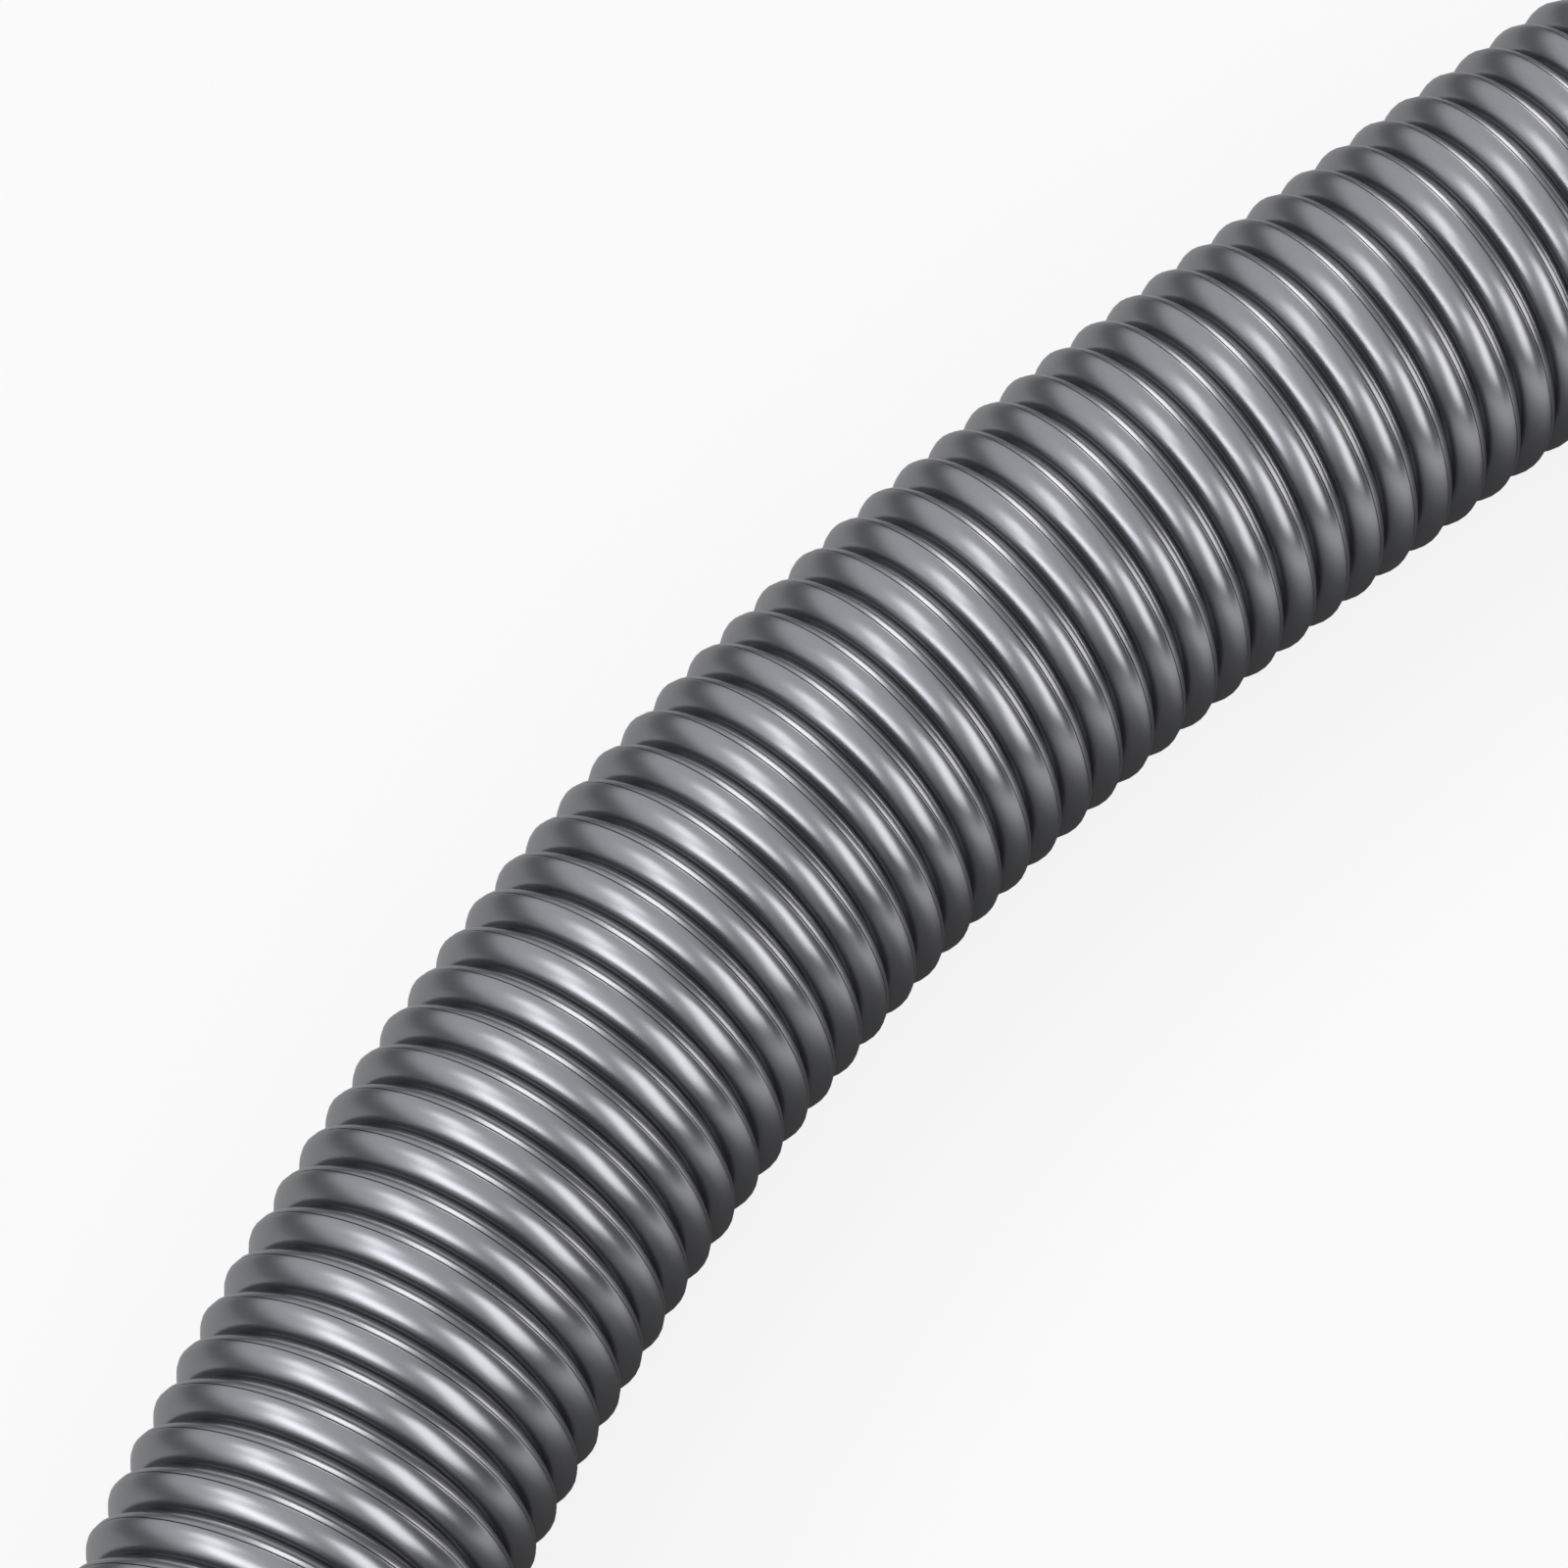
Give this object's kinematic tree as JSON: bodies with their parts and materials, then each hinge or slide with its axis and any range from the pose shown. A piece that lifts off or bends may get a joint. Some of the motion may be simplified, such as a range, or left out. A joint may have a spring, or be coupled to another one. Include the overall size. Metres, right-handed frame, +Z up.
{
  "type": "vacuum hose",
  "caption": "Ribbed plastic suction hose lying in a loose loop, with a latching swivel connector at the cleaner end and a swivel cuff with lock lever and air-relief ring at the wand end.",
  "frame": {"origin": "on the floor, at the centre of the box round the loop", "axes": "+Z up; +X along the loop's long side, the way the cleaner-end connector points; +Y from the two cuffs towards the far side of the loop"},
  "size_m": [0.5791, 0.4661, 0.05],
  "materials": {
    "silver_hose_plastic": "metallic silver, glossy",
    "dark_cuff_plastic": "satin",
    "grey_control_plastic": "satin",
    "pale_inner_plastic": "plain",
    "black_rubber": "matte",
    "spring_steel": "bright"
  },
  "bodies": {
    "hose": {"ribbed_hose": "silver_hose_plastic", "machine_hose_sleeve": "dark_cuff_plastic", "tool_hose_sleeve": "dark_cuff_plastic", "machine_bend_guard": "black_rubber", "tool_bend_guard": "black_rubber"},
    "machine_swivel": {"machine_connector": "dark_cuff_plastic", "machine_retaining_ring": "pale_inner_plastic", "machine_swivel_seal": "black_rubber", "machine_o_ring": "black_rubber", "latch_spring_left": "spring_steel", "latch_spring_right": "spring_steel"},
    "latch_left": {"latch_button_left": "grey_control_plastic"},
    "latch_right": {"latch_button_right": "grey_control_plastic"},
    "tool_swivel": {"tool_cuff": "dark_cuff_plastic", "tool_retaining_ring": "pale_inner_plastic", "tool_swivel_seal": "black_rubber", "wand_lock_pin": "spring_steel", "wand_lock_spring": "spring_steel"},
    "relief_ring": {"air_relief_ring": "grey_control_plastic"},
    "lock_lever": {"wand_lock_lever": "grey_control_plastic"}
  },
  "joints": [
    {"name": "machine_swivel_turn", "type": "hinge", "parent": "hose", "child": "machine_swivel", "pos_m": [-0.02083, -0.148, 0.025], "axis": [1, 0, 0], "continuous": true},
    {"name": "tool_swivel_turn", "type": "hinge", "parent": "hose", "child": "tool_swivel", "pos_m": [-0.01183, -0.208, 0.025], "axis": [1, 0, 0], "continuous": true},
    {"name": "latch_left_press", "type": "slide", "parent": "machine_swivel", "child": "latch_left", "axis": [0, -1, 0], "range_m": [0, 0.0017], "stiffness_N_per_m": 800, "springref_m": -0.001, "deforming": ["latch_spring_left"]},
    {"name": "latch_right_press", "type": "slide", "parent": "machine_swivel", "child": "latch_right", "axis": [0, 1, 0], "range_m": [0, 0.0017], "stiffness_N_per_m": 800, "springref_m": -0.001, "deforming": ["latch_spring_right"]},
    {"name": "lock_lever_press", "type": "hinge", "parent": "tool_swivel", "child": "lock_lever", "pos_m": [-0.07783, -0.208, 0.048], "axis": [0, 1, 0], "range_deg": [0, 6], "stiffness_Nm_per_rad": 0.08, "springref_deg": -2.86, "deforming": ["wand_lock_spring"]},
    {"name": "relief_ring_turn", "type": "hinge", "parent": "tool_swivel", "child": "relief_ring", "pos_m": [-0.01183, -0.208, 0.025], "axis": [1, 0, 0], "range_deg": [0, 46]}
  ]
}
